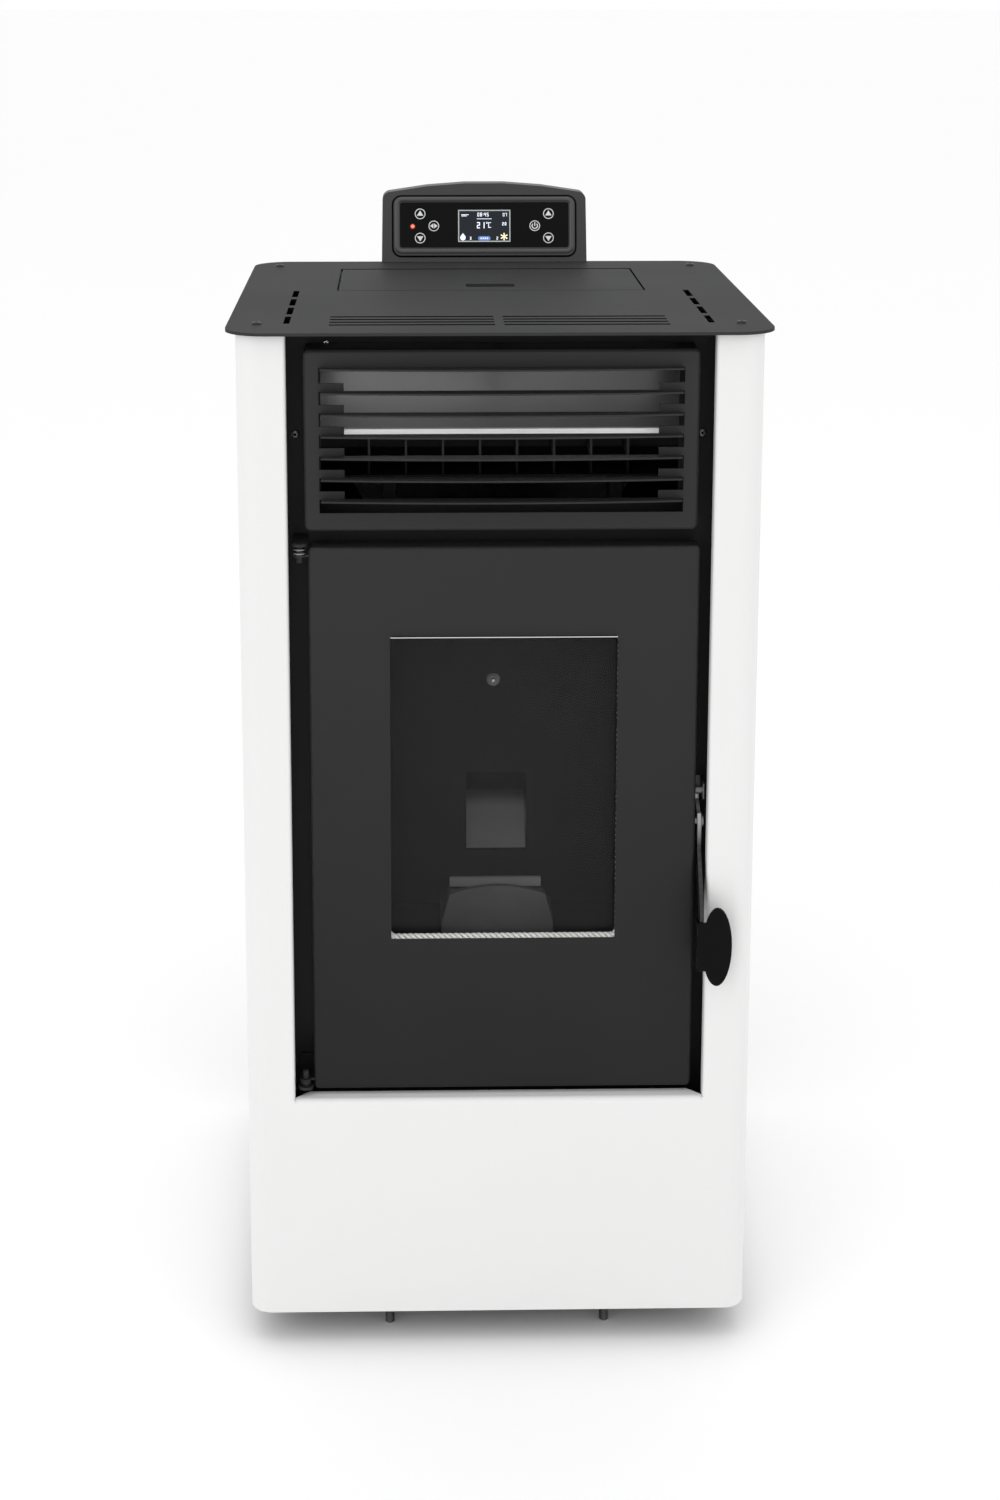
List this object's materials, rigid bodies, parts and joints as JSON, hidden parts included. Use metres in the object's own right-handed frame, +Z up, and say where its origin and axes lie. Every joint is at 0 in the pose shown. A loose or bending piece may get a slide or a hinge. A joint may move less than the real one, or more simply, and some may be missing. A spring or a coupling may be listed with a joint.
{
  "type": "pellet stove",
  "caption": "Free-standing pellet stove with a white casing, dark top plate and hopper lid, glazed fire door with claw latch, warm-air grille and a leaning control panel.",
  "frame": {"origin": "centre of the whole stove's footprint, on the floor", "axes": "+X to the stove's right as seen from the front, +Y from the front to the back, +Z up"},
  "size_m": [0.52, 0.602, 1.1235],
  "materials": {
    "white_enamel": "satin white powder coat",
    "plate_paint": "fine-textured dark grey heat paint",
    "black_paint": "matt black heat paint",
    "zinc_steel": "galvanised sheet",
    "bright_steel": "bright plated steel",
    "cast_iron": "grey iron, dry",
    "firebox_paint": "matt black heat paint, sooted",
    "motor_black": "black enamel",
    "panel_plastic": "finely grained black",
    "overlay": "gloss black",
    "screen": "lit display",
    "door_glass": "clear ceramic glass, lightly smoked",
    "braid": "braided glass-fibre rope"
  },
  "bodies": {
    "body": {"top_plate": "plate_paint", "casing": "white_enamel", "base_pan": "black_paint", "rear_panel": "black_paint", "front_frame": "black_paint", "foot_front_left": "bright_steel", "foot_front_right": "bright_steel", "foot_rear_left": "bright_steel", "foot_rear_right": "bright_steel", "outlet_grille": "black_paint", "air_deflector": "zinc_steel", "exchanger_outlet": "black_paint", "firebox": "firebox_paint", "fireback_plate": "firebox_paint", "fireback_bolt": "bright_steel", "pot_shelf": "firebox_paint", "hopper": "zinc_steel", "hopper_guard": "zinc_steel", "lid_hinge_left": "zinc_steel", "lid_hinge_right": "zinc_steel", "pellet_chute": "zinc_steel", "auger_tube": "zinc_steel", "auger_motor": "motor_black", "smoke_box": "zinc_steel", "exhaust_housing": "zinc_steel", "exhaust_motor": "motor_black", "flue_spigot": "motor_black", "air_intake": "zinc_steel", "igniter": "bright_steel", "blower_housing": "zinc_steel", "blower_motor": "motor_black", "control_board": "panel_plastic", "power_inlet": "panel_plastic", "upper_hinge": "black_paint", "lower_hinge": "black_paint", "latch_keeper": "bright_steel", "control_housing": "panel_plastic", "control_overlay": "overlay", "display_screen": "screen"},
    "door": {"door_panel": "black_paint", "glass_seal": "braid", "door_glass": "door_glass", "glass_retainer": "black_paint", "door_seal": "braid", "latch_pivot": "bright_steel"},
    "latch": {"latch_lever": "black_paint", "latch_grip": "black_paint"},
    "lid": {"hopper_lid": "plate_paint"},
    "pot": {"burn_pot": "cast_iron"},
    "ash_drawer": {"ash_pan": "zinc_steel"},
    "auger": {"auger_screw": "bright_steel"},
    "impeller": {"exhaust_impeller": "bright_steel"},
    "drum": {"blower_drum": "bright_steel"},
    "rocker": {"rocker_switch": "panel_plastic"},
    "key_up_left_body": {"key_up_left": "overlay"},
    "key_down_left_body": {"key_down_left": "overlay"},
    "key_set_body": {"key_set": "overlay"},
    "key_up_right_body": {"key_up_right": "overlay"},
    "key_down_right_body": {"key_down_right": "overlay"},
    "key_power_body": {"key_power": "overlay"}
  },
  "joints": [
    {"name": "door_hinge", "type": "hinge", "parent": "body", "child": "door", "pos_m": [-0.192, -0.265, 0.54], "axis": [0, 0, -1], "range_deg": [0, 105]},
    {"name": "latch_turn", "type": "hinge", "parent": "door", "child": "latch", "pos_m": [0.1964, -0.256, 0.545], "axis": [-1, 0, 0], "range_deg": [-5, 30]},
    {"name": "lid_hinge", "type": "hinge", "parent": "body", "child": "lid", "pos_m": [0, 0.182, 1.028], "axis": [-1, 0, 0], "range_deg": [0, 80]},
    {"name": "pot_lift", "type": "slide", "parent": "body", "child": "pot", "axis": [0, 0, 1], "range_m": [0, 0.06]},
    {"name": "ash_pan_slide", "type": "slide", "parent": "body", "child": "ash_drawer", "axis": [0, -1, 0], "range_m": [0, 0.016]},
    {"name": "auger_spin", "type": "hinge", "parent": "body", "child": "auger", "pos_m": [0.0035, -0.042, 0.688], "axis": [0, 0.7071, -0.7071], "continuous": true},
    {"name": "impeller_spin", "type": "hinge", "parent": "body", "child": "impeller", "pos_m": [0.05, 0.111, 0.14], "axis": [1, 0, 0], "continuous": true},
    {"name": "drum_spin", "type": "hinge", "parent": "body", "child": "drum", "pos_m": [-0.156, 0.111, 0.1116], "axis": [1, 0, 0], "continuous": true},
    {"name": "rocker_tilt", "type": "hinge", "parent": "body", "child": "rocker", "pos_m": [0.19, 0.2485, 0.13], "axis": [1, 0, 0], "range_deg": [0, 10]},
    {"name": "press_up_left", "type": "slide", "parent": "body", "child": "key_up_left_body", "axis": [0, 0.9848, -0.1736], "range_m": [0, 0.0004], "stiffness_N_per_m": 600},
    {"name": "press_down_left", "type": "slide", "parent": "body", "child": "key_down_left_body", "axis": [0, 0.9848, -0.1736], "range_m": [0, 0.0004], "stiffness_N_per_m": 600},
    {"name": "press_set", "type": "slide", "parent": "body", "child": "key_set_body", "axis": [0, 0.9848, -0.1736], "range_m": [0, 0.0004], "stiffness_N_per_m": 600},
    {"name": "press_up_right", "type": "slide", "parent": "body", "child": "key_up_right_body", "axis": [0, 0.9848, -0.1736], "range_m": [0, 0.0004], "stiffness_N_per_m": 600},
    {"name": "press_down_right", "type": "slide", "parent": "body", "child": "key_down_right_body", "axis": [0, 0.9848, -0.1736], "range_m": [0, 0.0004], "stiffness_N_per_m": 600},
    {"name": "press_power", "type": "slide", "parent": "body", "child": "key_power_body", "axis": [0, 0.9848, -0.1736], "range_m": [0, 0.0004], "stiffness_N_per_m": 600}
  ]
}
